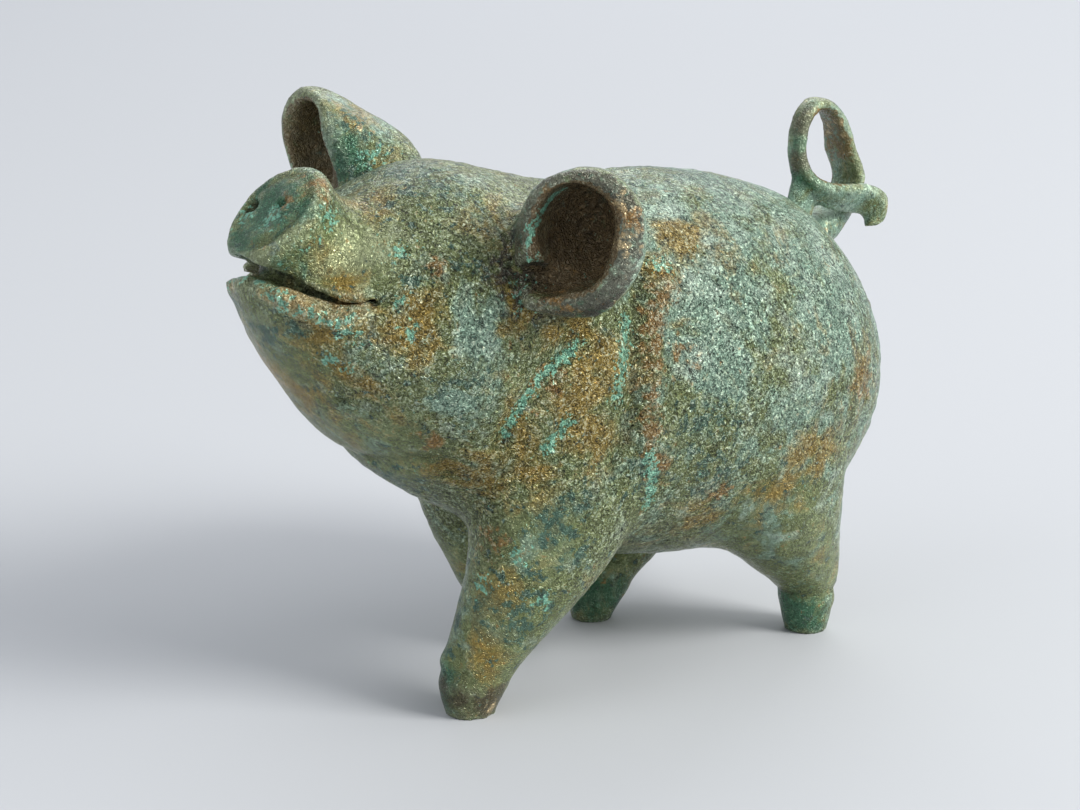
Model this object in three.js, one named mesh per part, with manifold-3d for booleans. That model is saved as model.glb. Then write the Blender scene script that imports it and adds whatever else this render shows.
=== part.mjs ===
// A small cast bronze pig at a trot, its head raised, its ears held out like cups and its tail in a curl.
// It was cast as one, so it is one solid. Millimetres, +Z up. The pig faces -Y, and its left side is +X.
import * as THREE from "three";
import { LoftGeometry } from "three/addons/geometries/LoftGeometry.js";
import { mergeVertices } from "three/addons/utils/BufferGeometryUtils.js";
import Module from "manifold-3d";

const wasm = await Module();
wasm.setup();

// Driving sizes

const BODY_SIDES = 32;
const BODY_STEPS = 38;
const LEG_SIDES = 18;
const LEG_STEPS = 12;
const MOUTH_SIDES = 8;
const MOUTH_STEPS = 28;
const TAIL_SIDES = 8;
const TAIL_STEPS = 48;

const SNOUT_SIDES = 28;
const SNOUT_RADIUS = 4.0;
const SNOUT_TILT = (3 * Math.PI) / 4;
const SNOUT_AT = [0, -27.0, 35.4];
const NOSTRIL = [0.75, 0.9, 0.6];
// Right and left of the middle of the snout's face, above it, and down it
const NOSTRILS_AT = [
  [-2.4, 0.5, -0.2],
  [0.6, 0.5, -0.8],
];

// The two ears were pressed by hand and differ. Each has the place of its middle and of its root, with
// x out from the pig's middle, its turn outward and how far its top leans out, in radians, how deep its
// back is, how wide its hollow is, how thick its rolled rim is, and whether it has a notch.
const LEFT_EAR = {
  at: [15.5, -14.2, 34.5],
  root: [10.6, -11.0, 33.2],
  turn: 0.5,
  lean: 0,
  depth: 5.6,
  hollow: 2.7,
  roll: 1,
  notched: true,
};
const RIGHT_EAR = {
  at: [14.2, -14.9, 36.5],
  root: [10.3, -11.9, 34.5],
  turn: 0.14,
  lean: 0.4,
  depth: 4.6,
  hollow: 3.0,
  roll: 0.6,
  notched: false,
};
// Half sizes across, deep and high, and places out from the ear's middle, behind it and above it.
const EAR_BACK_WIDE = 3.4;
const EAR_BACK_HIGH = 4.9;
const EAR_HOLLOW_DEEP = 3.8;
const EAR_HOLLOW_HIGH = 3.4;
const EAR_HOLLOW_UP = 0.4;
const EAR_INNER_WALL = 3.2;
const EAR_NOTCH = [2.6, 1.8, 1.1];
const EAR_NOTCH_AT = [-3.2, 0, -2.5];
const EAR_ROOT = [5.2, 3.4, 4.2];
const EAR_ROOT_DIP = 0.45;
const EAR_CUT = 40;
const RIM_SIDES = 8;
const RIM_STEPS = 24;

const EYE_RADIUS = 0.8;
const EYE_AT = [8.0, -19.9, 32.3];

const TAIL_WEB = [0.9, 1.2, 2.7];
const TAIL_WEB_AT = [0.7, 18.8, 31.2];

// Sides and rings of a ball, and how far the final surface may be from the joined one
const BALL_SIDES = 18;
const BALL_RINGS = 12;
const SMALLEST_FACE = 0.03;

const vec = (x, y, z) => new THREE.Vector3(x, y, z);

// Joining and cutting

function solidOf(geometry) {
  const bare = new THREE.BufferGeometry();
  bare.setAttribute("position", geometry.attributes.position);
  bare.setIndex(geometry.index);
  const merged = mergeVertices(bare, 1e-4);
  return new wasm.Manifold(
    new wasm.Mesh({
      numProp: 3,
      vertProperties: merged.attributes.position.array,
      triVerts: new Uint32Array(merged.index.array),
    }),
  );
}

function geometryOf(solid) {
  const { vertProperties, triVerts } = solid.getMesh();
  const geometry = new THREE.BufferGeometry();
  geometry.setAttribute("position", new THREE.BufferAttribute(vertProperties, 3));
  geometry.setIndex(new THREE.BufferAttribute(triVerts, 1));
  geometry.computeVertexNormals();
  return geometry;
}

const join = (solids) => solids.reduce((sum, solid) => sum.add(solid));

// A ball with half sizes [x, y, z], set at a place
function ball([halfX, halfY, halfZ], [x, y, z]) {
  const round = new THREE.SphereGeometry(1, BALL_SIDES, BALL_RINGS);
  return round.scale(halfX, halfY, halfZ).translate(x, y, z);
}

// Lofts

// A smooth vector at share t, from 0 to 1, along a list of vectors.
function along(vectors, t) {
  return new THREE.CatmullRomCurve3(vectors, false, "catmullrom", 0.5).getPoint(t);
}

// A closed body skinned over oval rings, each with a centre and two half axes: across it and up it.
function ovalLoft({ rings, steps, sides, roundness = 1 }) {
  const sections = [];
  for (let i = 0; i <= steps; i++) {
    const t = i / steps;
    const centre = along(rings.map((ring) => ring.centre), t);
    const across = along(rings.map((ring) => ring.across), t);
    const up = along(rings.map((ring) => ring.up), t);
    const section = [];
    for (let j = 0; j < sides; j++) {
      const angle = (2 * Math.PI * j) / sides;
      const c = Math.cos(angle);
      const s = Math.sin(angle);
      const wide = Math.sign(c) * Math.abs(c) ** roundness;
      const high = Math.sign(s) * Math.abs(s) ** roundness;
      section.push(centre.clone().addScaledVector(across, wide).addScaledVector(up, high));
    }
    sections.push(section);
  }
  return new LoftGeometry(sections, { capStart: true, capEnd: true });
}

// A loft along a smooth line. Each row is a point of the line, x, y, z, then its half width and half
// thickness, and acrossOf gives the direction of the width.
function ribbon({ rows, acrossOf, ...counts }) {
  const centres = rows.map(([x, y, z]) => vec(x, y, z));
  const curve = new THREE.CatmullRomCurve3(centres, false, "catmullrom", 0.5);
  const rings = rows.map((row, index) => {
    const [, , , wide, thick] = row;
    const tangent = curve.getTangent(index / (rows.length - 1));
    const across = acrossOf(tangent, row).normalize();
    const up = tangent.clone().cross(across).normalize();
    return { centre: centres[index], across: across.multiplyScalar(wide), up: up.multiplyScalar(thick) };
  });
  return ovalLoft({ rings, ...counts });
}

// Body and head: rings from the rump to the lower lip, each held by its top and bottom point in the
// plane x = 0 and a half width. The planes of the rings lean back as the head rises.
const BODY = [
  { top: [21.6, 20.4], bottom: [21.6, 19.6], half: 0.6 },
  { top: [21.0, 24.8], bottom: [21.2, 14.5], half: 6.0 },
  { top: [18.9, 29.8], bottom: [19.2, 10.6], half: 9.5 },
  { top: [15.0, 33.0], bottom: [15.0, 7.8], half: 11.9 },
  { top: [10.0, 34.6], bottom: [10.0, 6.8], half: 13.2 },
  { top: [4.0, 35.5], bottom: [4.0, 6.9], half: 13.5 },
  { top: [-3.0, 35.2], bottom: [-3.0, 8.4], half: 12.9 },
  { top: [-9.0, 36.5], bottom: [-9.5, 10.8], half: 12.2 },
  { top: [-14.5, 38.0], bottom: [-16.4, 14.8], half: 11.4 },
  { top: [-18.5, 37.0], bottom: [-21.8, 18.8], half: 10.1 },
  { top: [-21.3, 35.6], bottom: [-25.6, 23.4], half: 8.2 },
  { top: [-23.0, 33.8], bottom: [-27.9, 27.2], half: 6.4 },
  { top: [-24.6, 32.8], bottom: [-29.0, 29.7], half: 4.8 },
  { top: [-26.0, 32.2], bottom: [-29.2, 31.0], half: 3.4 },
];

function bodyLoft() {
  const rings = BODY.map(({ top: [topY, topZ], bottom: [bottomY, bottomZ], half }) => ({
    centre: vec(0, (topY + bottomY) / 2, (topZ + bottomZ) / 2),
    across: vec(half, 0, 0),
    up: vec(0, (topY - bottomY) / 2, (topZ - bottomZ) / 2),
  }));
  return solidOf(ovalLoft({ rings, steps: BODY_STEPS, sides: BODY_SIDES }));
}

// Snout: a short tube that looks up and forward, with a rounded rim at its flat end. Each row is a radius
// and a height along the tube.
const SNOUT = [
  [0, -7.0],
  [5.4, -7.0],
  [4.6, -4.4],
  [3.9, -2.4],
  [3.8, -1.5],
  [3.95, -0.8],
  [SNOUT_RADIUS, -0.3],
  [3.85, 0.1],
  [3.5, 0.4],
  [2.7, 0.55],
  [0, 0.4],
];

function snout() {
  const place = (geometry) => solidOf(geometry.rotateX(SNOUT_TILT).translate(...SNOUT_AT));
  const profile = SNOUT.map(([radius, height]) => new THREE.Vector2(radius, height));
  const tube = place(new THREE.LatheGeometry(profile, SNOUT_SIDES));
  const nostrils = NOSTRILS_AT.map((at) => place(ball(NOSTRIL, at)));
  return tube.subtract(join(nostrils));
}

// Mouth: a slot that runs round the muzzle from one turned-up corner to the other.
// Each row is a ring of its left half: x, y, z, half depth and half height.
const MOUTH = [
  [6.6, -22.9, 31.1, 0.9, 0.3],
  [6.2, -23.9, 30.4, 1.3, 0.42],
  [5.5, -25.9, 30.3, 1.6, 0.45],
  [3.4, -28.0, 31.3, 1.9, 0.65],
  [0, -29.6, 32.25, 2.2, 1.0],
];

function mouth() {
  const right = MOUTH.slice(0, -1).reverse().map(([x, ...rest]) => [-x, ...rest]);
  const acrossOf = (tangent) => tangent.clone().cross(vec(0, 0, 1));
  return solidOf(ribbon({ rows: [...MOUTH, ...right], acrossOf, steps: MOUTH_STEPS, sides: MOUTH_SIDES }));
}

// Legs: stubs that flare into the shoulder or the thigh. Each row is a ring: x, y, z and its half width
// across the body and along it.
const FRONT_LEFT = [
  [5.6, -7.0, 25, 4.6, 5.5],
  [6.2, -8.2, 19, 5.8, 6.4],
  [6.2, -9.6, 12, 4.8, 6.0],
  [5.4, -12.6, 6.5, 3.5, 3.9],
  [4.5, -14.6, 3, 2.6, 2.7],
  [4.3, -15.0, 0.8, 2.2, 2.3],
  [4.3, -15.0, 0, 1.7, 1.8],
];
const FRONT_RIGHT = [
  [-5.6, -5.5, 25, 4.6, 5.0],
  [-6.2, -6.0, 19, 5.8, 5.8],
  [-5.8, -6.4, 12, 4.6, 5.2],
  [-5.4, -5.6, 6.5, 3.4, 3.6],
  [-4.8, -5.0, 3, 2.6, 2.7],
  [-4.6, -4.6, 0.8, 2.2, 2.3],
  [-4.6, -4.6, 0, 1.7, 1.8],
];
const REAR_LEFT = [
  [6.0, 8.0, 22, 5.0, 6.0],
  [7.0, 9.2, 15, 6.0, 6.4],
  [6.9, 11.0, 9, 4.7, 5.2],
  [6.5, 13.8, 5, 3.2, 3.4],
  [6.5, 15.0, 3, 2.2, 2.3],
  [6.5, 14.9, 0.8, 2.1, 2.1],
  [6.5, 14.9, 0, 1.6, 1.6],
];
const REAR_RIGHT = [
  [-6.0, 8.0, 22, 5.0, 6.0],
  [-7.0, 9.0, 15, 6.0, 6.6],
  [-6.8, 9.2, 9, 4.7, 5.2],
  [-6.0, 7.2, 5, 3.4, 4.0],
  [-5.4, 4.9, 3, 2.3, 2.6],
  [-5.4, 3.7, 0.8, 2.1, 2.1],
  [-5.4, 3.7, 0, 1.6, 1.6],
];

function leg(rows) {
  const rings = rows.map(([x, y, z, halfX, halfY]) => ({
    centre: vec(x, y, z),
    across: vec(halfX, 0, 0),
    up: vec(0, -halfY, 0),
  }));
  return solidOf(ovalLoft({ rings, steps: LEG_STEPS, sides: LEG_SIDES }));
}

// Ears: cups on thick roots at the sides of the head, open forward, with a rolled rim. The roll is thin on
// the inner side and ends in a lobe below. A notch above the lobe lets the hollow out onto the cheek, and
// without the notch the roll is closed there. Each row is a ring of it: out from the ear's middle, above
// it, and its radius.
const EAR_RIM = [
  [-3.6, -1.5, 0.5],
  [-3.7, 0.9, 0.55],
  [-2.8, 3.0, 0.65],
  [-0.4, 4.1, 0.75],
  [1.9, 3.7, 0.9],
  [3.1, 1.8, 1.0],
  [2.7, -0.9, 1.1],
  [0.8, -3.1, 1.05],
  [-1.7, -3.9, 0.85],
  [-3.8, -3.9, 0.6],
];
const RIM_CLOSING = [-3.8, -3.8, 0.5];

function ear(side, sizes) {
  const { at: [x, y, z], root: [rootX, rootY, rootZ], turn, lean, depth, hollow, roll, notched } = sizes;
  const placing = new THREE.Matrix4()
    .makeTranslation(side * x, y, z)
    .multiply(new THREE.Matrix4().makeRotationZ(side * turn))
    .multiply(new THREE.Matrix4().makeRotationY(side * lean));
  const placed = (geometry) => solidOf(geometry.applyMatrix4(placing));
  const bends = notched ? EAR_RIM : [RIM_CLOSING, ...EAR_RIM];
  const rows = bends.map(([out, up, radius]) => [side * out, 0, up, roll * radius, roll * radius]);
  const acrossOf = () => vec(0, 1, 0);
  const rim = placed(ribbon({ rows, acrossOf, steps: RIM_STEPS, sides: RIM_SIDES }));
  const root = ball(EAR_ROOT, [0, 0, 0]).rotateY(-side * EAR_ROOT_DIP).translate(side * rootX, rootY, rootZ);
  const back = placed(ball([EAR_BACK_WIDE, depth, EAR_BACK_HIGH], [0, 0, 0]));
  const front = placed(new THREE.BoxGeometry(EAR_CUT, EAR_CUT, EAR_CUT).translate(0, -EAR_CUT / 2, 0));
  const carve = (halves, [out, behind, up]) => placed(ball(halves, [side * out, behind, up]));
  const cup = wasm.Manifold.hull([rim, back, solidOf(root)]).subtract(front).add(rim);
  const halves = [hollow, EAR_HOLLOW_DEEP, EAR_HOLLOW_HIGH];
  const carved = cup.subtract(carve(halves, [hollow - EAR_INNER_WALL, 0, EAR_HOLLOW_UP]));
  return notched ? carved.subtract(carve(EAR_NOTCH, EAR_NOTCH_AT)) : carved;
}

// Eyes: low round beads
function eye(side) {
  const [x, y, z] = EYE_AT;
  return solidOf(ball([EYE_RADIUS, EYE_RADIUS, EYE_RADIUS], [side * x, y, z]));
}

// Tail: a flat strip that rises from the rump, curls once and ends in a free tip bent down. A web of
// metal ties the curl to the rump. Each row is a ring: x, y, z, half width, half thickness, then how far
// its width turns from level towards upright, in radians, and how far it swings to the rear.
const TAIL = [
  [-0.4, 17.6, 27.0, 1.9, 2.0, 0, 0],
  [-0.5, 21.2, 28.4, 1.8, 1.7, 0, 0],
  [-0.7, 24.1, 30.2, 1.5, 1.0, 0, 0],
  [-0.7, 25.2, 32.5, 1.7, 0.6, 0, 0],
  [-0.6, 24.1, 34.7, 1.7, 0.55, 0, 0],
  [-0.4, 23.3, 36.7, 1.4, 0.5, 0, 0],
  [-0.1, 22.0, 38.2, 1.2, 0.5, 0, 0],
  [0.1, 20.6, 38.6, 1.1, 0.5, 0, 0],
  [0.3, 19.4, 38.0, 1.0, 0.5, 0, 0],
  [0.5, 18.6, 36.8, 0.95, 0.5, 0, 0],
  [0.7, 18.3, 35.2, 0.95, 0.5, 0, 0],
  [1.0, 18.6, 33.6, 1.1, 0.55, 0.1, 0],
  [1.4, 19.8, 32.3, 1.3, 0.6, 0.5, 0],
  [1.9, 21.6, 31.6, 1.45, 0.6, 0.9, 0],
  [2.2, 24.0, 31.2, 1.45, 0.6, 1.0, 0],
  [2.3, 25.3, 30.3, 1.35, 0.6, 0.9, 0.5],
  [2.2, 24.9, 28.9, 1.2, 0.6, 0.3, 1.6],
];

function tail() {
  const acrossOf = (tangent, [, , , , , turn, swing]) => vec(Math.cos(turn), swing, Math.sin(turn));
  const counts = { steps: TAIL_STEPS, sides: TAIL_SIDES, roundness: 0.7 };
  const strip = solidOf(ribbon({ rows: TAIL, acrossOf, ...counts }));
  return strip.add(solidOf(ball(TAIL_WEB, TAIL_WEB_AT)));
}

// The whole casting, set down with its middle over the origin
function casting() {
  const legs = [FRONT_LEFT, FRONT_RIGHT, REAR_LEFT, REAR_RIGHT].map(leg);
  const head = join([bodyLoft(), snout()]).subtract(mouth());
  const ears = [ear(1, LEFT_EAR), ear(-1, RIGHT_EAR)];
  const whole = join([head, ...legs, ...ears, eye(1), eye(-1), tail()]);
  const geometry = geometryOf(whole.simplify(SMALLEST_FACE));
  geometry.computeBoundingBox();
  const middle = geometry.boundingBox.getCenter(vec(0, 0, 0));
  return geometry.translate(-middle.x, -middle.y, 0);
}

const bronze = new THREE.MeshStandardMaterial({ color: 0x6b7355, roughness: 0.55, metalness: 0.6 });
const pig = new THREE.Mesh(casting(), bronze);
pig.name = "bronze_pig";

const group = new THREE.Group();
group.add(pig);

export default group;
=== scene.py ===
# %% [markdown]
# # A small bronze pig
#
# The object is one solid casting, about 56 mm long, with a mottled green patina.
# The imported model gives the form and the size. This script turns that faceted form into cast and
# worked metal, gives it its patina, and sets it on a pale floor in soft light.

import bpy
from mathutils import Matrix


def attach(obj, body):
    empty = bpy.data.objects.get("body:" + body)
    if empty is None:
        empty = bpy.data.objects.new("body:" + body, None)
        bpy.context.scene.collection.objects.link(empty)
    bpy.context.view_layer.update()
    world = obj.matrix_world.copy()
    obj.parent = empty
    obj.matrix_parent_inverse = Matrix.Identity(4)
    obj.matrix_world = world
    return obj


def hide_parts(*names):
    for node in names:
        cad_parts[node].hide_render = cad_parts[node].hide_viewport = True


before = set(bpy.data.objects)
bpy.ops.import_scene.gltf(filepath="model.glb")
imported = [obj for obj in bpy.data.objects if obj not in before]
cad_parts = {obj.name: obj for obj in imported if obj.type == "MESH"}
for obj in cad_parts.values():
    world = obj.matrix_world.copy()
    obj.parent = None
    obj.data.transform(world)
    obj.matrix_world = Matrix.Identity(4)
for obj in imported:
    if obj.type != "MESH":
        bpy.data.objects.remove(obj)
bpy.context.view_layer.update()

# %% Tools and units
import math

import bmesh
import bpy
import numpy as np
from mathutils import Vector, noise

MM = 0.001  # m
MIDLINE = -0.448  # mm, where the pig's own middle lies along X, because the two ears differ
print("the pig's own middle is at X =", MIDLINE, "mm")

# %% [markdown]
# ## The casting
#
# On the real pig the legs, ears and tail flow into the body, because the model for the mould was made
# in wax by hand. The frame's solid has facets and hard seams there.
# The form could be sculpted, or drawn as a coarse cage under a subdivision surface. The frame already
# has the form, so a voxel remesh turns a copy of it into an even skin of small quads instead. That
# joins forms as clay is joined by rubbing, and all later steps work on one fine mesh.

# %% Merge a copy of the solid
MERGE_DISTANCE = 0.001  # mm

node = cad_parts["bronze_pig"]
pig = bpy.data.objects.new("bronze_pig_cast", node.data.copy())
bpy.context.scene.collection.objects.link(pig)

form = bmesh.new()
form.from_mesh(pig.data)
bmesh.ops.remove_doubles(form, verts=form.verts, dist=MERGE_DISTANCE * MM)
form.to_mesh(pig.data)
form.free()
print("merged copy:", len(pig.data.vertices), "vertices")


# %% Remesh it
SKIN_STEP = 0.29  # mm, the side of one quad


def apply_modifiers(piece):
    """The piece's mesh becomes what its modifiers show, and they are taken off."""
    evaluated = piece.evaluated_get(bpy.context.evaluated_depsgraph_get())
    made = bpy.data.meshes.new_from_object(evaluated)
    piece.modifiers.clear()
    old = piece.data
    piece.data = made
    bpy.data.meshes.remove(old)


remesh = pig.modifiers.new("even_skin", "REMESH")
remesh.mode = "VOXEL"
remesh.voxel_size = SKIN_STEP * MM
apply_modifiers(pig)
print("skin:", len(pig.data.polygons), "quads")

# %% [markdown]
# ## Melting the seams
#
# In wax a seam is rubbed away with a warm finger. In Blender a bevel could round it, but a bevel needs
# a clean row of edges, and a remeshed skin has none.
# Smoothing draws each vertex to the middle of its neighbours, many times over. A vertex group says how
# much of that each vertex gets. The seams and the facets get all of it, and the carving at the mouth,
# the eyes, the ears and the tail gets a little, so it stays crisp.

# %% Where the skin is
GENTLE, MILD, STEEP = 2, 4, 8  # how suddenly a spot ends


def read_skin(mesh):
    """Where each vertex is, in mm from the pig's middle, and which way it faces."""
    place = np.empty(len(mesh.vertices) * 3)
    mesh.vertices.foreach_get("co", place)
    facing = np.empty(len(mesh.vertices) * 3)
    mesh.vertices.foreach_get("normal", facing)
    return place.reshape(-1, 3) / MM - (MIDLINE, 0, 0), facing.reshape(-1, 3)


def near(place, spots, steepness=MILD):
    """1 at each spot, falling to 0 past its radius. A spot is its centre and radius in mm."""
    share = np.zeros(len(place))
    for centre, radius in spots:
        distance = np.linalg.norm(place - np.array(centre), axis=1)
        share = np.maximum(share, np.exp(-((distance / radius) ** steepness)))
    return share


place, facing = read_skin(pig.data)
print("the skin is", round(float(place[:, 2].max()), 2), "mm high")

# %% Melt the facets
CARVED = [  # mouth, snout, eyes, ears, tail
    ((0, -26.5, 31.0), 7.0),
    ((6.2, -22.5, 30.4), 2.6),
    ((-6.0, -22.5, 30.4), 2.6),
    ((0, -25.0, 35.8), 5.6),
    ((8.2, -18.3, 32.4), 1.6),
    ((-8.0, -18.3, 32.4), 1.6),
    ((15.0, -12.6, 34.5), 7.6),
    ((-13.9, -13.2, 36.5), 7.8),
    ((1.0, 23.4, 35.0), 7.6),
]
CRISPNESS = 0.97  # how much of the smoothing the carving is spared
SOLES = 0.2  # mm above the ground, where the feet stay flat
HALF_WAY = 0.5  # of the way to its neighbours' middle, in each pass
FACET_PASSES = 90


def soften(piece, shares, passes):
    """Smooths the piece, each vertex by its share, from 0 to 1."""
    group = piece.vertex_groups.new(name="soften")
    for index, share in enumerate(shares.tolist()):
        group.add([index], share, "REPLACE")
    smooth = piece.modifiers.new("soften", "SMOOTH")
    smooth.factor = HALF_WAY
    smooth.iterations = passes
    smooth.vertex_group = group.name
    apply_modifiers(piece)
    piece.vertex_groups.clear()


on_ground = np.exp(-((place[:, 2] / SOLES) ** MILD))
crisp = np.maximum(CRISPNESS * near(place, CARVED, STEEP), on_ground)
soften(pig, 1 - crisp, FACET_PASSES)
print("vertices kept crisp:", int((crisp > HALF_WAY).sum()))

# %% Melt the seams
SEAMS = [  # where each leg, each ear, the snout and the tail leave the body
    ((8, -10, 15), 8.0),
    ((-8, -5, 14), 8.0),
    ((9, 10, 13), 8.0),
    ((-8, 9, 13), 8.0),
    ((9.5, -9, 32), 5.0),
    ((-9, -9, 33), 5.0),
    ((0, -21.5, 33.5), 4.0),
    ((0, 20.5, 28.0), 4.5),
]
SEAM_PASSES = 120
EAR_LEDGE = [((13.2, -11.6, 33.2), 1.6)]  # between the hollow of the left ear and its notch
LEDGE_PASSES = 60

place, facing = read_skin(pig.data)
soften(pig, near(place, SEAMS) * (1 - near(place, CARVED, STEEP)), SEAM_PASSES)
place, facing = read_skin(pig.data)
soften(pig, near(place, EAR_LEDGE), LEDGE_PASSES)
print("joins softened:", len(SEAMS) + len(EAR_LEDGE))

# %% [markdown]
# ## Working the surface
#
# The maker pressed folds into the wax with a tool, and the casting added lumps and pits.
# A sculpting brush would do the same by hand. Here each fold is a line through a few points, and each
# lump is a spot, so the script gives the same pig each time and a fold is moved by changing a number.
# Every vertex is moved along its normal by the sum of those marks. numpy does it for all the
# vertices at once, which is much quicker than a loop.


# %% Lines on the skin
def distance_to_line(place, line):
    """How far each vertex is from a line through points, in mm."""
    nearest = np.full(len(place), np.inf)
    for start, end in zip(line[:-1], line[1:]):
        start, end = np.array(start, float), np.array(end, float)
        along = end - start
        share = np.clip((place - start) @ along / (along @ along), 0, 1)
        foot = start + share[:, None] * along
        nearest = np.minimum(nearest, np.linalg.norm(place - foot, axis=1))
    return nearest


def ridge(place, line, width):
    """1 on the line, falling softly to 0 at about twice the width."""
    return np.exp(-((distance_to_line(place, line) / width) ** 2))


def mirrored(line):
    """The same line on the pig's other side."""
    return [(-x, y, z) for x, y, z in line]


place, facing = read_skin(pig.data)
move = np.zeros(len(place))
print("vertices to move:", len(move))

# %% Folds
SHOULDER_FOLD = [
    (9.7, -2.8, 30.8),
    (11, -3.8, 29),
    (12.2, -4.9, 25.9),
    (12.5, -5.4, 21),
    (12, -6.3, 17.2),
]
SHOULDER_BAND = [
    (10.8, -2.3, 29.4),
    (12, -3.6, 26.5),
    (12.7, -4.3, 22.5),
    (12.4, -3.9, 19.6),
    (11.9, -2.7, 17.2),
]
JOWL_FOLD = [
    (11.9, -9.4, 26.9),
    (11.8, -11.2, 25.8),
    (11.6, -12.7, 24.7),
    (11, -13.8, 22.9),
    (10, -14.3, 20.9),
]
NECK_FOLD = [(11.5, -10.3, 21.6), (11.1, -11.0, 20.6), (10.6, -11.5, 19.9)]
CHIN_FOLD = [
    (1.0, -19.3, 18.1),
    (2.6, -19.1, 18.4),
    (5.2, -18.5, 19.0),
    (6.7, -17.2, 19.0),
    (6.5, -16.2, 18.1),
]
LOWER_LIP = [
    (0.6, -26.9, 31.2),
    (3.9, -26.5, 30.2),
    (5.8, -24.9, 29.5),
    (6.6, -23.0, 29.5),
    (7.0, -21.6, 30.2),
]
FOLDS = [  # line, width and height in mm
    (SHOULDER_FOLD, 1.1, -0.6),
    (SHOULDER_BAND, 0.9, 0.32),
    (JOWL_FOLD, 1.2, -0.6),
    (NECK_FOLD, 0.6, -0.2),
    (CHIN_FOLD, 0.9, -0.4),
    (LOWER_LIP, 0.6, 0.4),
]
for line, width, height in FOLDS:
    for side in (list, mirrored):
        move += height * ridge(place, side(line), width)
print("folds move the skin by", round(float(move.min()), 2), "to", round(float(move.max()), 2), "mm")

# %% The rings of the snout
SNOUT_MIDDLE = np.array([0, -25.3, 35.8])
SNOUT_AXIS = np.array([0, -0.707, 0.707])  # the snout's face looks up and forward
SNOUT_DEPTH = 1.2  # mm, how far behind the face its rings reach
SNOUT_RINGS = [(2.9, 0.45, -0.16), (3.6, 0.4, 0.12)]  # radius, width and height in mm

from_middle = place - SNOUT_MIDDLE
ahead = from_middle @ SNOUT_AXIS
from_axis = np.linalg.norm(from_middle - ahead[:, None] * SNOUT_AXIS, axis=1)
on_face = np.exp(-((ahead / SNOUT_DEPTH) ** MILD))
for radius, width, height in SNOUT_RINGS:
    move += height * on_face * np.exp(-(((from_axis - radius) / width) ** 2))
print("vertices on the snout's face:", int((on_face > HALF_WAY).sum()))

# %% The floor of the mouth
MOUTH_FLOOR = [(3.2, -26.4, 30.7), (4.2, -25.4, 30.3), (5.3, -23.9, 30.1), (6.0, -22.9, 30.4)]
FLOOR_WIDTH = 0.9  # mm
FLOOR_RISES = [(MOUTH_FLOOR, 0.55), (mirrored(MOUTH_FLOOR), 0.15)]  # in mm, left and right
LOOKS_UP = 0.3  # the least upward part of a normal that belongs to the floor

for line, rise in FLOOR_RISES:
    move += rise * ridge(place, line, FLOOR_WIDTH) * (facing[:, 2] > LOOKS_UP)
print("the floor of the mouth rises by", FLOOR_RISES[0][1], "mm")

# %% Hooves
FEET = [(4.3, -13.2), (-4.6, -2.8), (6.5, 16.7), (-5.4, 5.5)]
HOOF_RADIUS = 2.4  # mm
HOOF_RINGS = [(3.3, 0.4, -0.14), (2.2, 0.7, 0.1)]  # level, width and height in mm
RING_POINTS = 12


def level_ring(x, y, z):
    """A closed line round a foot."""
    turns = [2 * math.pi * i / RING_POINTS for i in range(RING_POINTS + 1)]
    return [(x + HOOF_RADIUS * math.cos(turn), y + HOOF_RADIUS * math.sin(turn), z) for turn in turns]


for x, y in FEET:
    for level, width, height in HOOF_RINGS:
        move += height * ridge(place, level_ring(x, y, level), width)
print("hooves marked:", len(FEET))

# %% Lumps and pits
LUMPS = [  # centre, radius and height in mm
    # The cheeks.
    ((10.6, -17.4, 27.2), 3.6, 0.7),
    ((-10.4, -17.4, 27.2), 3.6, 0.7),
    # A knob behind the left ear, with a pit in it.
    ((10.6, -1.2, 29.4), 0.9, 0.45),
    ((10.5, 0.2, 29.5), 0.5, -0.35),
    ((9.6, -0.9, 30.6), 0.8, 0.2),
    # A ringed pit on the throat, and lone pits on the chin, the cheek and the flank.
    ((3.9, -21.7, 21.5), 0.9, -0.18),
    ((3.9, -21.7, 21.5), 0.4, 0.2),
    ((4.1, -23.1, 23.6), 0.35, -0.3),
    ((10.9, -14.6, 23.5), 0.3, -0.3),
    ((12.8, 1.3, 18.0), 0.3, -0.25),
    # A bead of metal over the left front hoof, a dent in the hoof, and the tip of the tail.
    ((3.6, -15.6, 4.2), 0.8, 0.8),
    ((5.5, -15.3, 1.7), 0.8, -0.2),
    ((-0.2, 28.0, 33.0), 0.7, 0.6),
    # The filled nostrils, and two lumps on the edge of the snout.
    ((-2.2, -25.3, 36.0), 0.8, 0.25),
    ((0.8, -25.0, 36.1), 0.9, 0.45),
    ((0.0, -24.3, 37.0), 0.9, 0.15),
    ((0.4, -26.8, 34.4), 1.1, 0.18),
    # The corner of the mouth, and a dip in the lower lip.
    ((7.2, -22.4, 30.7), 0.6, -0.3),
    ((-3.0, -27.2, 30.4), 1.2, -0.2),
    # The right ear.
    ((-11.2, -13.9, 38.4), 1.8, 0.5),
    ((-17.2, -13.0, 39.3), 2.8, 0.35),
]
for centre, radius, height in LUMPS:
    move += height * near(place, [(centre, radius)], GENTLE)
print("lumps and pits:", len(LUMPS))

# %% [markdown]
# The wax was shaped by fingers, so no part of it is quite even. Slow noise gives that.
# The mould was coated with fine sand, which left the grain on the metal. Quick noise gives that.
# It is strong on the flanks and cheeks, and the legs, the tail and the muzzle were rubbed smoother.
# A Displace modifier could move the skin too, but it can't be held back from a spot so simply.

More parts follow.
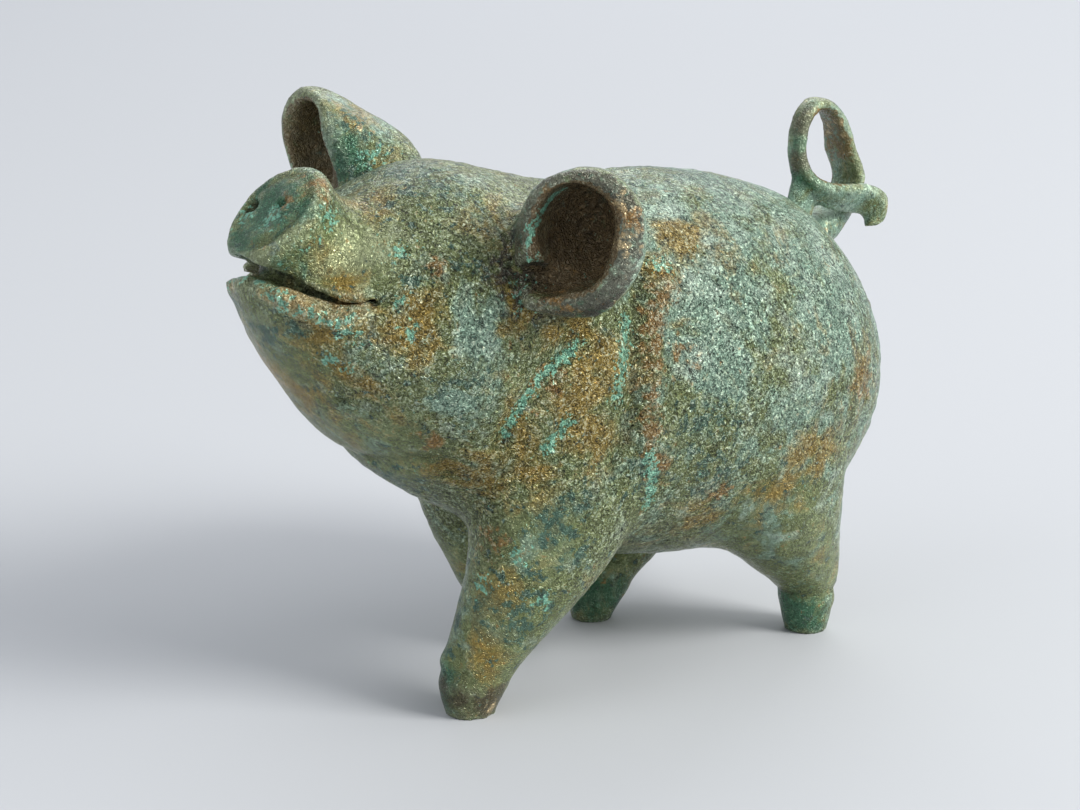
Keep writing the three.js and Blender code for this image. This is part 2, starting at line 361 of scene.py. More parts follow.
# %% Hand-made waves and cast grain
WAVES = [(6.0, 0.16), (2.6, 0.06)]  # size and height in mm
GRAIN = [(0.95, 0.055), (0.6, 0.065)]
WAVE_SEED, GRAIN_SEED = 17, 41
SMOOTHER = [  # legs, tail, snout, jaw, throat, muzzle, ears, thigh, shoulder
    ((6, -13, 5), 7.5),
    ((7, 13, 5), 7.5),
    ((-6, -5, 5), 6.5),
    ((-6, 5, 5), 6.5),
    ((0.5, 23, 34), 9),
    ((0, -26.5, 35.0), 5.0),
    ((0, -26.0, 26.0), 6.0),
    ((3.5, -20.0, 20.0), 5.0),
    ((-3.5, -20.0, 20.0), 5.0),
    ((4.2, -22.6, 33.2), 3.4),
    ((-4.2, -22.6, 33.2), 3.4),
    ((-14.0, -12.5, 36.5), 6.5),
    ((15.5, -12.5, 34.5), 6.0),
    ((9.5, 9.0, 11.5), 5.0),
    ((9.6, -11.4, 13.0), 3.6),
]
RUBBED_AWAY = 0.62  # the share of the grain that is gone in the smoother spots


def rough_noise(place, size, seed):
    """Smooth noise from -1 to 1 at each vertex, with bumps of the given size in mm."""
    shift = Vector((seed, 2 * seed, 3 * seed))
    return np.array([noise.noise(Vector(p) / size + shift) for p in place.tolist()])


grainy = 1 - RUBBED_AWAY * near(place, SMOOTHER)
for seed, (size, height) in enumerate(WAVES, WAVE_SEED):
    move += height * rough_noise(place, size, seed)
for seed, (size, height) in enumerate(GRAIN, GRAIN_SEED):
    move += height * grainy * rough_noise(place, size, seed)
print("all marks move the skin by up to", round(float(np.abs(move).max()), 2), "mm")

# %% Move the skin
FIRM = 1.5  # mm above the ground, from where the marks have their full height

off_ground = np.clip(place[:, 2] / FIRM, 0, 1)
worked = place + facing * (move * off_ground)[:, None] + (MIDLINE, 0, 0)
pig.data.vertices.foreach_set("co", (worked * MM).ravel())
pig.data.update()
pig.data.shade_smooth()
print("worked skin:", (worked.max(axis=0) - worked.min(axis=0)).round(1), "mm")

# %% [markdown]
# ## Where the patina lies
#
# Metal shows on the edges that hands rub, and dirt stays in the hollows. Pointiness in a Geometry
# node could find them, but how far it reaches depends on how fine the mesh is. The pale tone on proud
# edges is partly rubbed patina and partly a painted highlight.
# So a copy of the skin is smoothed, and each vertex is compared with its smoothed place. One that
# stood proud is on an edge, and one that lay below is in a hollow. The result is kept in an attribute
# that the material reads.

# %% Edges and hollows
EDGE_PASSES, EDGE_HEIGHT = 40, 0.25  # an edge stands this far proud, in mm
GRAIN_PASSES, GRAIN_HEIGHT = 6, 0.04  # and a grain this far


def proudness(piece, passes):
    """How far each vertex stands above the smoothed skin, in mm."""
    smooth = piece.modifiers.new("compare", "SMOOTH")
    smooth.factor = HALF_WAY
    smooth.iterations = passes
    evaluated = piece.evaluated_get(bpy.context.evaluated_depsgraph_get())
    calm, _ = read_skin(evaluated.data)
    piece.modifiers.remove(smooth)
    rough, facing = read_skin(piece.data)
    return ((rough - calm) * facing).sum(axis=1)


def keep_attribute(piece, name, values):
    """Stores one number for each vertex, which the material finds by its name."""
    layer = piece.data.attributes.new(name, "FLOAT", "POINT")
    layer.data.foreach_set("value", values.astype(np.float32))
    print(name, "runs from", round(float(values.min()), 2), "to", round(float(values.max()), 2))


keep_attribute(pig, "edge", np.clip(proudness(pig, EDGE_PASSES) / EDGE_HEIGHT, -1, 1))
keep_attribute(pig, "grain", np.clip(proudness(pig, GRAIN_PASSES) / GRAIN_HEIGHT, -1, 1))
keep_attribute(pig, "sandy", grainy)

# %% [markdown]
# The colours of a patina lie where damp, dirt and hands have been, and a few spots also paint a sheen
# on the upper flank and the cheek and a shade on the brow. They could be painted on an image,
# but here they are set out as soft spots on the skin, and the material breaks up their borders with
# noise, so they stay sharp however close the camera comes.
# The far side was never seen, so it gets the same spots, mirrored.


# %% Greens
def keep_patches(name, spots):
    """Keeps the spots of one colour, and the same spots on the other side."""
    other_side = [((-x, y, z), radius) for (x, y, z), radius in spots]
    keep_attribute(pig, name, near(place, spots + other_side, GENTLE))


GREEN_AND_SHEEN = [  # grey-green on the back, the rump, the ears and the brow
    ((0, 14.0, 26.0), 15.0),
    ((7, 4.0, 28.5), 8.0),
    # The upper flank and the cheek: their pale grey-green is partly a painted sheen where the light
    # catches them.
    ((11.5, 1.1, 28.0), 4.5),
    ((12.6, 1.6, 24.4), 3.6),
    ((10.4, -17.0, 28.4), 1.8),
    ((18.0, -10.0, 35.0), 4.0),
    ((-12.0, -12.0, 37.0), 3.6),
    ((10.0, -18.0, 23.5), 2.4),
    ((12.0, 13.0, 26.0), 6.0),
]
DEEP = [  # dark green where damp stood: snout, feet, tail
    ((0, -25.5, 35.5), 4.2),
    ((6.8, 15.5, 1.5), 3.4),
    ((-5.0, 4.0, 2.0), 4.0),
    ((3.2, -14.6, 2.6), 2.4),
    ((-4.4, -3.0, 1.0), 3.6),
    ((2.0, 21.0, 35.0), 4.0),
    ((16.0, -13.5, 30.5), 2.6),
    ((-10.2, -13.6, 37.0), 3.2),
    ((2.6, -24.0, 36.2), 1.8),
]
keep_patches("green", GREEN_AND_SHEEN)
keep_patches("deep", DEEP)

# %% Ochre
OCHRE = [  # on the neck, the throat, the legs, the muzzle and behind the ears
    ((11.6, -10.2, 27.9), 3.0),
    ((12.1, -8.9, 24.5), 3.8),
    ((11.9, -10.0, 21.0), 3.4),
    ((9.8, -12.9, 19.3), 4.0),
    ((8.3, -13.2, 9.4), 2.4),
    ((7.2, -14.3, 5.4), 1.9),
    ((5.5, -23.5, 31.6), 2.2),
    ((2.2, -18.5, 36.0), 2.2),
    ((-8.8, -13.2, 35.6), 1.6),
    ((-10.4, -12.6, 39.6), 2.2),
    ((8.8, -20.4, 29.4), 3.0),
    ((6.0, -23.9, 26.8), 3.0),
    ((12.3, 8.4, 14.0), 2.4),
    ((12.8, 10.2, 15.6), 2.6),
    ((12.9, 12.2, 17.4), 2.4),
    ((8.4, 1.8, 32.2), 2.6),
    ((9.4, 4.3, 31.0), 1.8),
    ((8.2, -13.0, 34.3), 2.4),
    ((10.4, -13.7, 30.3), 2.4),
    ((4.6, -24.8, 28.0), 2.6),
    ((3.4, -24.8, 25.6), 3.0),
    ((1.6, -25.0, 23.6), 2.6),
    ((10.0, 2.8, 12.1), 2.6),
    ((12.1, 16.5, 20.5), 2.2),
    ((9.9, -1.2, 30.5), 1.8),
    ((7.0, -15.0, 17.6), 3.4),
]
keep_patches("ochre", OCHRE)

# %% Slate, pale and murk
SLATE_AND_SHADE = [  # blue-grey round the eyes, on the jaw, on the front leg and low on the flanks
    ((9.9, -18.6, 25.3), 2.2),
    ((8.0, -20.2, 32.4), 1.5),
    ((8.8, -17.0, 32.8), 1.3),
    ((11.2, -9.5, 16.0), 2.4),
    ((10.5, -10.8, 14.4), 2.2),
    ((10.8, -9.1, 11.9), 1.6),
    ((8.2, -12.4, 8.0), 3.6),
    ((1.5, -17.6, 16.2), 2.6),
    ((13.0, 0.4, 20.2), 3.2),
    ((12.4, 1.9, 16.4), 3.0),
    ((11.7, -4.3, 17.0), 2.0),
    ((3.6, -26.2, 28.9), 1.5),
    ((-0.6, -26.6, 28.0), 1.8),
    # On the brow the slate is partly painted shade, which darkens the top of the head.
    ((3.4, -15.4, 36.8), 3.4),
    ((-1.0, -15.6, 37.4), 3.2),
    ((7.4, -19.5, 32.4), 1.2),
    ((4.2, -14.3, 7.2), 2.0),
    ((4.2, -15.3, 4.4), 1.4),
    ((-10.4, -13.6, 37.4), 3.2),
    ((1.0, 1.0, 33.6), 4.0),
    ((-2.0, 8.0, 33.4), 4.0),
]
PALE = [  # rubbed pale on the muzzle
    ((4.2, -21.4, 33.6), 3.4),
    ((3.4, -23.6, 32.8), 2.4),
]
MURK = [  # dark brown on the toes and the tail
    ((5.6, -14.2, 1.2), 3.2),
    ((0.8, 20.6, 37.4), 1.6),
    ((1.3, 20.2, 34.6), 1.3),
    ((4.4, -12.0, 1.0), 2.0),
]
keep_patches("slate", SLATE_AND_SHADE)
keep_patches("pale", PALE)
keep_patches("murk", MURK)

# %% [markdown]
# Thick verdigris gathers as teal lines in the folds, and a rusty brown shows where the green has flaked
# off. The lips are brown, but their tan is painted lighter than that, a painted light against the shade
# inside the mouth. The folds are already lines in this script, so the same lines carry the colour, and
# it can't miss them.


# %% Verdigris
def on_lines(lines):
    """The nearest line's share on both sides. A line comes with its width in mm and its strength."""
    share = np.zeros(len(place))
    for line, width, strength in lines:
        for side in (list, mirrored):
            share = np.maximum(share, strength * ridge(place, side(line), width))
    return share


TEAL_STRIP = [(11.6, -5.4, 27.9), (12.1, -5.9, 26.1), (12.4, -6.5, 24.2), (12.4, -6.8, 22.9)]
TEAL_STREAK = [(12.1, -3.9, 18.5), (11.5, -3.0, 16.5), (10.5, -2.8, 14.6)]
SNOUT_EDGE = [(3.6, -22.6, 36.4), (4.4, -24.2, 34.8), (4.1, -25.8, 33.2), (3.0, -27.0, 32.3)]
TEAL_LINES = [
    (TEAL_STRIP, 0.8, 0.9),
    (TEAL_STREAK, 0.6, 1.0),
    (SNOUT_EDGE, 0.7, 0.75),
    (JOWL_FOLD, 0.6, 1.0),
    (NECK_FOLD, 0.6, 1.0),
    (LOWER_LIP, 0.4, 0.85),
]
EAR_TEAL = [(13.3, -12.6, 37.6), (12.7, -13.7, 36.2), (12.6, -14.3, 35.2), (12.6, -14.9, 33.9)]
EAR_TEAL_WIDTH = 0.5  # mm, and only in the left ear
TEAL_SPOTS = [
    ((6.4, -24.1, 29.0), 1.2),
    ((5.0, -24.4, 26.9), 1.0),
    ((6.0, -23.6, 26.2), 0.8),
    ((9.6, -0.9, 30.6), 1.0),
    ((0.7, -25.7, 35.6), 1.4),
    ((-2.3, -25.9, 35.4), 1.2),
    ((3.6, -23.3, 35.8), 1.2),
    ((12.9, -14.3, 33.1), 0.9),
    ((10.8, -13.7, 30.3), 1.2),
    ((9.6, -11.1, 9.0), 0.9),
    ((6.6, -14.0, 10.1), 1.0),
    ((8.9, -12.7, 12.2), 0.9),
    ((7.9, -13.6, 2.9), 0.8),
    ((6.4, -20.0, 33.6), 1.0),
    ((-8.2, -12.0, 36.8), 1.4),
    ((8.1, -21.1, 30.8), 0.8),
    ((8.8, -20.9, 29.0), 0.9),
]
TEAL_STRENGTH = 0.75
teal = np.maximum(on_lines(TEAL_LINES), ridge(place, EAR_TEAL, EAR_TEAL_WIDTH))
keep_attribute(pig, "teal", np.maximum(teal, TEAL_STRENGTH * near(place, TEAL_SPOTS, GENTLE)))

# %% Brown flakes, and the lips painted lighter against their shade
BROWN_SPOTS = [
    ((8.6, -18.5, 32.8), 1.2),
    ((2.5, -23.3, 37.6), 1.3),
    ((1.1, -25.0, 36.1), 1.2),
    ((7.7, -18.6, 21.2), 1.3),
    ((11.7, -12.0, 24.9), 1.8),
    ((7.2, -13.5, 13.3), 1.6),
    ((6.4, -17.6, 18.2), 1.3),
    ((10.6, -1.2, 29.4), 1.4),
    ((12.7, 17.0, 20.4), 2.1),
    ((11.7, 2.9, 14.6), 1.4),
    ((18.9, -11.4, 36.6), 1.1),
    ((14.6, -14.6, 30.6), 1.6),
    ((11.8, -1.0, 25.2), 1.6),
    ((6.0, -23.6, 30.2), 1.2),
]
BROWN_STRENGTH = 0.8
BROWN_LINES = [(SHOULDER_BAND, 1.0, 0.9)]
# The tan of the lips is a painted light: lighter than their real brown, against the shade in the mouth.
LIP_LEDGE = [(1.8, -27.6, 30.9), (4.2, -26.2, 30.5), (5.6, -24.6, 30.1), (6.2, -22.8, 30.2)]
LIP_LINES = [(LIP_LEDGE, 0.9, 1.0), (MOUTH_FLOOR, 1.0, 1.0)]
brown = BROWN_STRENGTH * near(place, BROWN_SPOTS, GENTLE)
keep_attribute(pig, "brown", np.maximum(brown, on_lines(BROWN_LINES)))
keep_attribute(pig, "lips", on_lines(LIP_LINES))

# %% [markdown]
# The hollows of the ears and the inside of the tail's ring are dark with old dirt, and the rims of the
# ears are nearly black. A spot alone would colour both sides of such a thin wall, so a spot counts
# here only where the skin faces the right way.

# %% Ears and tail
EARS = [  # middle of the cup, which way it is open, and how dark its rim is
    ((15.0, -12.8, 34.5), (0.48, -0.88, 0), 1.0),
    ((-13.7, -13.6, 36.5), (-0.14, -0.99, 0), 0.3),
]
RIM_RADIUS, HOLLOW_RADIUS = 6.4, 5.0  # mm
TAIL_RING, RING_RADIUS = (0.3, 21.8, 35.3), 4.5

place, facing = read_skin(pig.data)


def inside(middle, radius):
    """1 where the skin is near a middle and faces it, as the inside of a cup or a ring does."""
    faces_it = ((np.array(middle) - place) * facing).sum(axis=1) > 0
    return near(place, [(middle, radius)], STEEP) * faces_it


rim = np.zeros(len(place))
dark = np.zeros(len(place))
for middle, opening, darkness in EARS:
    frontal = np.clip(2 * (facing @ np.array(opening)), 0, 1)
    rim = np.maximum(rim, darkness * near(place, [(middle, RIM_RADIUS)], STEEP) * frontal)
    dark = np.maximum(dark, inside(middle, HOLLOW_RADIUS))
keep_attribute(pig, "rim", rim)
keep_attribute(pig, "dark", dark)
keep_attribute(pig, "ring", inside(TAIL_RING, RING_RADIUS))

# %% Bare edges
BARE_SPOTS = [  # on the ears, the left front toe, the root and the crook of the tail
    ((18.6, -11.4, 37.6), 1.2),
    ((18.9, -11.6, 34.6), 1.4),
    ((6.6, -12.8, 0.6), 1.2),
    ((1.2, 22.6, 28.0), 1.8),
    ((-9.0, -12.0, 39.5), 1.6),
    ((-0.3, 23.8, 36.2), 2.0),
]
keep_attribute(pig, "bare", near(place, BARE_SPOTS, GENTLE))

# %% [markdown]
# ## The patina
#
# The finish is patinated cast bronze. Bronze is copper with some tin, poured into a mould. Damp and
# handling then grew copper salts on it, in greens, blues and browns over golden metal. To the eye
# that gives a mottled, stony colour that still glints like metal.
# It could be one image, but it is built here layer over layer, much as the real one grew: a base of
# olive, then one salt after another, then dirt in the hollows and pale edges, partly a painted
# highlight, then flakes, lips painted lighter against their shade, and verdigris, then painted
# highlights on the grains and painted shade in their pits, and last the bare metal. Each salt has a
# colour, a cloud of noise that shapes it, and an attribute that says where it grows best.


# %% Colours and nodes
def linear(code):
    """An sRGB hex colour as the linear values that Blender works in."""
    shares = [int(code[i : i + 2], 16) / 255 for i in (1, 3, 5)]
    return [s / 12.92 if s <= 0.04045 else ((s + 0.055) / 1.055) ** 2.4 for s in shares] + [1.0]


def add(tree, kind, inputs=None, output=None, **settings):
    """Adds a node with its settings, values and links, and gives back one of its outputs."""
    made = tree.nodes.new(kind)
    for name, value in settings.items():
        setattr(made, name, value)
    for name, value in (inputs or {}).items():
        if isinstance(value, bpy.types.NodeSocket):
            tree.links.new(value, made.inputs[name])
        else:
            made.inputs[name].default_value = value
    if output is not None:
        return made.outputs[output]
    return next((o for o in made.outputs if o.enabled), None)


patina = bpy.data.materials.new("patinated_cast_bronze")
patina.use_nodes = True
salts = patina.node_tree
salts.nodes.clear()
where = add(salts, "ShaderNodeTexCoord", output="Object")
print("olive in linear light:", [round(share, 3) for share in linear("#667046")])

# %% Clouds of noise
GRAIN_SIZE = 0.24  # mm, the sand grain that the cast skin kept
WRINKLE_SIZE = 0.34  # mm, the wrinkles that the grain runs into
SPECK_SIZE = 0.4  # mm, a crumb of verdigris
FLECK_SIZE = 0.8  # mm, a fleck of one salt
PATCH_SIZE = 3.2  # mm, a patch of one salt
ROUGH = 0.65  # how strong the fine detail of a cloud is
CLOUDS = {  # size, detail, distortion, and a shift in metres that makes each cloud its own
    "grains": (GRAIN_SIZE, 1.5, 1.2, 0.019),
    "wrinkles": (WRINKLE_SIZE, 1.0, 0.8, 0.047),
    "specks": (SPECK_SIZE, 3.0, 0.0, 0.061),
    "flecks_a": (FLECK_SIZE, 4.0, 0.0, 0.073),
    "flecks_b": (FLECK_SIZE, 4.0, 0.0, 0.091),
    "patches_a": (PATCH_SIZE, 6.0, 0.4, 0.011),
    "patches_b": (PATCH_SIZE, 6.0, 0.4, 0.037),
    "patches_c": (PATCH_SIZE, 6.0, 0.4, 0.053),
}
clouds = {}
for name, (size, detail, distortion, shift) in CLOUDS.items():
    moved = add(salts, "ShaderNodeMapping", {"Vector": where, "Location": (shift, 2 * shift, -shift)})
    look = {"Vector": moved, "Scale": 1 / (size * MM), "Detail": detail}
    look.update({"Roughness": ROUGH, "Distortion": distortion})
    clouds[name] = add(salts, "ShaderNodeTexNoise", look)
print("clouds:", len(clouds))

# %% Ragged borders and crests
MIDDLE = 0.5  # the middle value of a cloud
RAGGED = 0.14  # how far the grains push a border, to and fro
CREST_WIDTH = 0.09  # a crest runs where the wrinkles are this near to their middle

push = {0: clouds["grains"], 1: RAGGED, 2: -MIDDLE * RAGGED}
ragged = add(salts, "ShaderNodeMath", push, operation="MULTIPLY_ADD")
off_crest = add(salts, "ShaderNodeMath", {0: clouds["wrinkles"], 1: MIDDLE}, operation="SUBTRACT")
off_crest = add(salts, "ShaderNodeMath", {0: off_crest}, operation="ABSOLUTE")
crest = add(salts, "ShaderNodeMapRange", {"Value": off_crest, "From Max": CREST_WIDTH})
print("a crest is", CREST_WIDTH, "to either side of", MIDDLE)


# %% How one salt grows over another
def grow(below, code, cloud, start, zone, reach, strength, softness):
    """A salt covers the colours below it where its cloud is thicker than start.

    A zone is an attribute in which it grows more readily, and the grains make its border ragged.
    """
    thick = add(salts, "ShaderNodeMath", {0: clouds[cloud], 1: ragged}, operation="ADD")
    if zone:
        share = add(salts, "ShaderNodeAttribute", output="Fac", attribute_name=zone)
        thick = add(salts, "ShaderNodeMath", {0: share, 1: reach, 2: thick}, operation="MULTIPLY_ADD")
    limits = {"Value": thick, "From Min": start, "From Max": start + softness, "To Max": strength}
    mask = add(salts, "ShaderNodeMapRange", limits)
    return add(salts, "ShaderNodeMix", {0: mask, 6: below, 7: linear(code)}, data_type="RGBA"), mask


def grow_all(below, layers):
    """Grows a table of salts, one over the other. Gives back the colour and the mask of each."""
    masks = {}
    for name, *layer in layers:
        below, masks[name] = grow(below, *layer)
    return below, masks


# %% Broad salts
BROAD_SALTS = [  # name, colour, cloud, start, zone, reach, strength, softness
    ("grey olive", "#88966e", "patches_c", 0.47, None, 0, 0.75, 0.16),
    # On the upper flank and the cheek, the grey and chalky greens are partly a painted sheen.
    ("grey green", "#7a9684", "patches_a", 0.55, "green", 0.26, 0.95, 0.14),
    ("chalky green", "#b3c6b6", "patches_b", 0.58, "green", 0.12, 0.8, 0.2),
    ("ochre", "#8c7434", "patches_c", 0.57, "ochre", 0.19, 0.9, 0.14),
    ("pale buff", "#949c76", "patches_a", 0.62, "pale", 0.3, 0.85, 0.16),
    ("dark green", "#33624a", "patches_b", 0.66, "deep", 0.36, 0.9, 0.14),
    ("slate green", "#566b54", "patches_c", 0.64, "slate", 0.2, 0.8, 0.14),
    ("murky brown", "#453a28", "patches_a", 0.66, "murk", 0.4, 0.85, 0.16),
]
BASE_OLIVE = "#667046"
colour, broad = grow_all(linear(BASE_OLIVE), BROAD_SALTS)
print("broad salts:", ", ".join(broad))

# %% Flecks
FLECK_SALTS = [
    ("black rim", "#443c36", "flecks_a", 0.58, "rim", 0.26, 0.9, 0.12),
    ("slate flecks", "#3c5c50", "flecks_a", 0.62, "slate", 0.15, 0.85, 0.06),
]
colour, flecks = grow_all(colour, FLECK_SALTS)
print("flecks:", ", ".join(flecks))

# %% Dirt, and rubbed edges with a painted highlight
DIRT, RUBBED_AND_HIGHLIGHT = "#2f2e1d", "#a9b295"

edge = add(salts, "ShaderNodeAttribute", output="Fac", attribute_name="edge")
hollow = {"Value": edge, "From Min": -0.15, "From Max": -0.9, "To Max": 0.65}
dirt = add(salts, "ShaderNodeMapRange", hollow)
colour = add(salts, "ShaderNodeMix", {0: dirt, 6: colour, 7: linear(DIRT)}, data_type="RGBA")
# Proud edges turn pale: partly patina rubbed by hands, partly a painted highlight.
proud = {"Value": edge, "From Min": 0.3, "From Max": 1.0, "To Max": 0.3}
rubbed_and_highlight = add(salts, "ShaderNodeMapRange", proud)
colour = add(salts, "ShaderNodeMix", {0: rubbed_and_highlight, 6: colour, 7: linear(RUBBED_AND_HIGHLIGHT)}, data_type="RGBA")
print("dirt covers up to", hollow["To Max"], "and the rubbed tone up to", proud["To Max"])

# %% Thick salts
THICK_SALTS = [
    ("ear dirt", "#66553a", "flecks_a", 0.85, "dark", 0.7, 0.85, 0.2),
    ("ring dirt", "#6b5630", "flecks_b", 0.68, "ring", 0.34, 0.85, 0.1),
    ("brown flakes", "#7d5c2c", "flecks_b", 0.62, "brown", 0.28, 0.85, 0.14),
    # A painted light: the lips are lighter than their real brown, against the shade in the mouth.
    ("lightened lips", "#a08a5c", "patches_c", 0.70, "lips", 0.4, 0.9, 0.2),
    ("verdigris", "#78b49c", "specks", 0.68, "teal", 0.32, 0.85, 0.08),
]
colour, thick_masks = grow_all(colour, THICK_SALTS)
print("thick salts:", ", ".join(thick_masks))

# %% [markdown]
# The cast grain shows as light tops and dark pits. The mesh carries the larger grains, and the finer
# ones come from the clouds, because a mesh fine enough for them would be too heavy.
# Both are added up to one relief. It paints a highlight on the tops and shade in the pits into the
# colour, and later bumps the surface, so that the painted light and the real light agree. The attribute
# named sandy holds it back where hands rubbed it away.

# %% Relief
MESH_SHARE, WRINKLE_SHARE = 0.04, 0.13  # what the mesh's grains and the wrinkles add to the relief

rise = add(salts, "ShaderNodeAttribute", output="Fac", attribute_name="grain")
sandy = add(salts, "ShaderNodeAttribute", output="Fac", attribute_name="sandy")
relief = add(salts, "ShaderNodeMath", {0: clouds["grains"], 1: MIDDLE}, operation="SUBTRACT")
relief = add(salts, "ShaderNodeMath", {0: relief, 1: sandy, 2: MIDDLE}, operation="MULTIPLY_ADD")
relief = add(salts, "ShaderNodeMath", {0: rise, 1: MESH_SHARE, 2: relief}, operation="MULTIPLY_ADD")
wrinkled = add(salts, "ShaderNodeMath", {0: crest, 1: MIDDLE}, operation="SUBTRACT")
wrinkled = add(salts, "ShaderNodeMath", {0: wrinkled, 1: sandy}, operation="MULTIPLY")
with_wrinkles = {0: wrinkled, 1: WRINKLE_SHARE, 2: relief}
relief = add(salts, "ShaderNodeMath", with_wrinkles, operation="MULTIPLY_ADD")
print("the relief adds up 3 kinds of grain")

# %% Painted highlights on the grains and painted shade in their pits
LOW, HIGH = 0.35, 0.65  # the span that a cloud mostly stays in
# The colour of the painted highlight on the grains, and of the painted shade in their pits.
PAINTED_GRAIN_HIGHLIGHT, PAINTED_PIT_SHADE = "#d3dfc8", "#26281c"

# Painted light and shade: the relief scales the colour, lighter on the grain tops and darker in the
# pits. The stain after it is the patina's own, at random.
tones = {"Value": relief, "From Min": LOW, "From Max": HIGH, "To Min": 0.5, "To Max": 1.6}
tone = add(salts, "ShaderNodeMapRange", tones)
stains = {"Value": clouds["flecks_b"], "From Min": LOW, "From Max": HIGH}
stains.update({"To Min": 0.78, "To Max": 1.2})
stain = add(salts, "ShaderNodeMapRange", stains)
tone = add(salts, "ShaderNodeMath", {0: tone, 1: stain}, operation="MULTIPLY")
colour = add(salts, "ShaderNodeVectorMath", {0: colour, "Scale": tone}, operation="SCALE")
# A painted highlight on the tops of the grains.
grain_highlight_span = {"Value": relief, "From Min": 0.57, "From Max": 0.72, "To Max": 0.5}
grain_highlight = add(salts, "ShaderNodeMapRange", grain_highlight_span)
colour = add(salts, "ShaderNodeMix", {0: grain_highlight, 6: colour, 7: linear(PAINTED_GRAIN_HIGHLIGHT)}, data_type="RGBA")
# Painted shade in the pits between the grains.
pits = {"Value": relief, "From Min": 0.4, "From Max": 0.3, "To Max": 0.8}
pit_shade = add(salts, "ShaderNodeMapRange", pits)
colour = add(salts, "ShaderNodeMix", {0: pit_shade, 6: colour, 7: linear(PAINTED_PIT_SHADE)}, data_type="RGBA")
print("tones run from", tones["To Min"], "to", tones["To Max"])

# %% Bare metal
METAL = [("bare bronze", "#c9b58c", "flecks_b", 0.74, "bare", 0.28, 0.8, 0.08)]
colour, metal = grow_all(colour, METAL)
print("last of all:", ", ".join(metal))

# %% [markdown]
# Clean bronze is fully metallic, and a thick salt isn't metallic at all. This patina is thin and
# polished by handling, so the metal glints through it all over: about a third as much as clean metal
# would, more in the ochre, where the patina is thinnest, and most where it is bare.
# Roughness runs with the flecks, so some glint sharply and others are dull. The bump gives the grain
# its small lights and shadows.

# %% The finish itself
THIN_SALT, OCHRE_GLINT, BARE_GLINT = 0.34, 0.2, 0.4  # how metallic each is
SMOOTHEST, FLECK_ROUGHNESS = 0.06, 0.3
WRINKLE_DEPTH, FLECK_DEPTH = 0.5, 0.4  # against the depth of the grains
BUMP_HEIGHT = 0.28  # mm

glint = {0: broad["ochre"], 1: OCHRE_GLINT, 2: THIN_SALT}
glint = add(salts, "ShaderNodeMath", glint, operation="MULTIPLY_ADD")
metallic = {0: metal["bare bronze"], 1: BARE_GLINT, 2: glint}
metallic = add(salts, "ShaderNodeMath", metallic, operation="MULTIPLY_ADD")
roughness = {0: clouds["flecks_a"], 1: FLECK_ROUGHNESS, 2: SMOOTHEST}
roughness = add(salts, "ShaderNodeMath", roughness, operation="MULTIPLY_ADD")
depth = add(salts, "ShaderNodeMath", {0: sandy, 1: clouds["grains"]}, operation="MULTIPLY")
depth = add(salts, "ShaderNodeMath", {0: wrinkled, 1: WRINKLE_DEPTH, 2: depth}, operation="MULTIPLY_ADD")
depth = {0: clouds["flecks_a"], 1: FLECK_DEPTH, 2: depth}  # the flecks stand a little proud
depth = add(salts, "ShaderNodeMath", depth, operation="MULTIPLY_ADD")
bump = add(salts, "ShaderNodeBump", {"Height": depth, "Strength": 1.0, "Distance": BUMP_HEIGHT * MM})
finish = {"Base Color": colour, "Metallic": metallic, "Roughness": roughness, "Normal": bump}
skin_shader = add(salts, "ShaderNodeBsdfPrincipled", finish)
add(salts, "ShaderNodeOutputMaterial", {"Surface": skin_shader})
pig.data.materials.clear()
pig.data.materials.append(patina)
print(patina.name, "has", len(salts.nodes), "nodes")

# %% Set the casting on its body
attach(pig, "root")
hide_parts("bronze_pig")
print("triangles:", sum(len(p.vertices) - 2 for p in pig.data.polygons))

# %% [markdown]
# ## Floor, light and camera
#
# The pig stands on plain pale card. Its dull, rough face has no pattern, so nothing draws the eye from
# the metal. A large disc is enough, because its edge lies far outside the picture.

# %% Floor
FLOOR_RADIUS = 3.0  # m
FLOOR_SEGMENTS = 64

card_form = bmesh.new()
bmesh.ops.create_circle(card_form, cap_ends=True, segments=FLOOR_SEGMENTS, radius=FLOOR_RADIUS)
card_mesh = bpy.data.meshes.new("pale_card")
card_form.to_mesh(card_mesh)
card_form.free()
card = bpy.data.objects.new("pale_card", card_mesh)
bpy.context.scene.collection.objects.link(card)

paper = bpy.data.materials.new("matt_card")
paper.use_nodes = True
paper_shader = paper.node_tree.nodes["Principled BSDF"]
paper_shader.inputs["Base Color"].default_value = linear("#b8bbc0")
paper_shader.inputs["Roughness"].default_value = 0.9
card_mesh.materials.append(paper)
print("floor radius:", FLOOR_RADIUS, "m")

# %% [markdown]
# The camera stands where the photograph was taken from: in front of the pig's left shoulder, a little
# above it and less than 20 cm away. Its lens follows from how many pixels wide the picture is.

# %% Camera
AZIMUTH, PITCH = math.radians(52), math.radians(15)
DISTANCE = 172.89  # mm
TARGET = Vector((-2.842, -1.87, 18.625)) * MM
FOCAL_PIXELS, IMAGE_WIDTH = 2400, 1080
SENSOR_WIDTH = 36  # mm
NEAREST = 0.01  # m, the closest thing that the camera draws

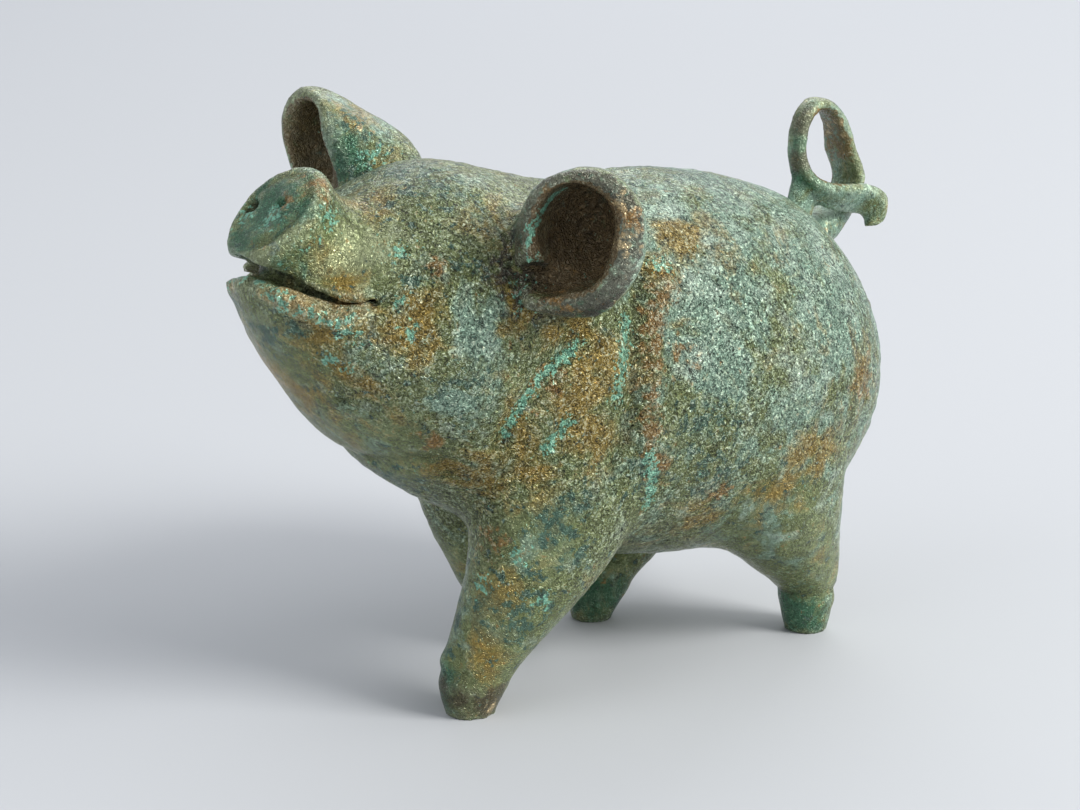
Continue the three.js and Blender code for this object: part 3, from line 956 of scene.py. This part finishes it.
level = math.cos(PITCH)
back = Vector((math.sin(AZIMUTH) * level, -math.cos(AZIMUTH) * level, math.sin(PITCH)))
right = Vector((math.cos(AZIMUTH), math.sin(AZIMUTH), 0))
lens = bpy.data.cameras.new("camera")
lens.sensor_width = SENSOR_WIDTH
lens.lens = FOCAL_PIXELS / IMAGE_WIDTH * SENSOR_WIDTH
lens.clip_start = NEAREST
camera = bpy.data.objects.new("camera", lens)
camera.location = TARGET + back * DISTANCE * MM
camera.rotation_euler = back.to_track_quat("Z", "Y").to_euler()
bpy.context.scene.collection.objects.link(camera)
bpy.context.scene.camera = camera
print("lens:", round(lens.lens, 1), "mm")

# %% [markdown]
# Daylight comes from a window high on the right, and a pale wall beside it spreads the light, so the
# flank has a soft sheen and the shadow falls to the left. A skylight behind brightens the back, and a
# weak fill on the left opens the shadows. Area lights give soft edges, as windows do, and a sun lamp
# would make them hard.

# %% Lights
LIGHTS = [  # name, metres up, right and towards the camera, width in metres, watts, colour
    ("window", (0.46, 0.64, 0.28), 0.32, 6.6, "#fffdf8"),
    ("pale_wall", (0.5, 0.68, 0.1), 1.0, 4.2, "#fffdf8"),
    ("skylight", (0.5, 0.1, -0.7), 0.7, 2.8, "#ffffff"),
    ("fill", (0.4, -0.55, 0.35), 0.6, 1.1, "#ffffff"),
]
toward = Vector((back.x, back.y, 0)).normalized()
up = Vector((0, 0, 1))
for name, (above, beside, before), width, watts, code in LIGHTS:
    lamp = bpy.data.lights.new(name, "AREA")
    lamp.size = width
    lamp.energy = watts
    lamp.color = linear(code)[:3]
    light = bpy.data.objects.new(name, lamp)
    light.location = up * above + right * beside + toward * before
    light.rotation_euler = (light.location - TARGET).to_track_quat("Z", "Y").to_euler()
    bpy.context.scene.collection.objects.link(light)
print("lights:", len(LIGHTS))

# %% The light of the room
ROOM_COLOUR, ROOM_STRENGTH = "#e8ecf2", 0.62

world = bpy.data.worlds.new("pale_room")
world.use_nodes = True
sky = world.node_tree.nodes["Background"]
sky.inputs["Color"].default_value = linear(ROOM_COLOUR)
sky.inputs["Strength"].default_value = ROOM_STRENGTH
bpy.context.scene.world = world
bpy.context.scene.view_settings.view_transform = "Standard"
print("the room shines at", ROOM_STRENGTH)
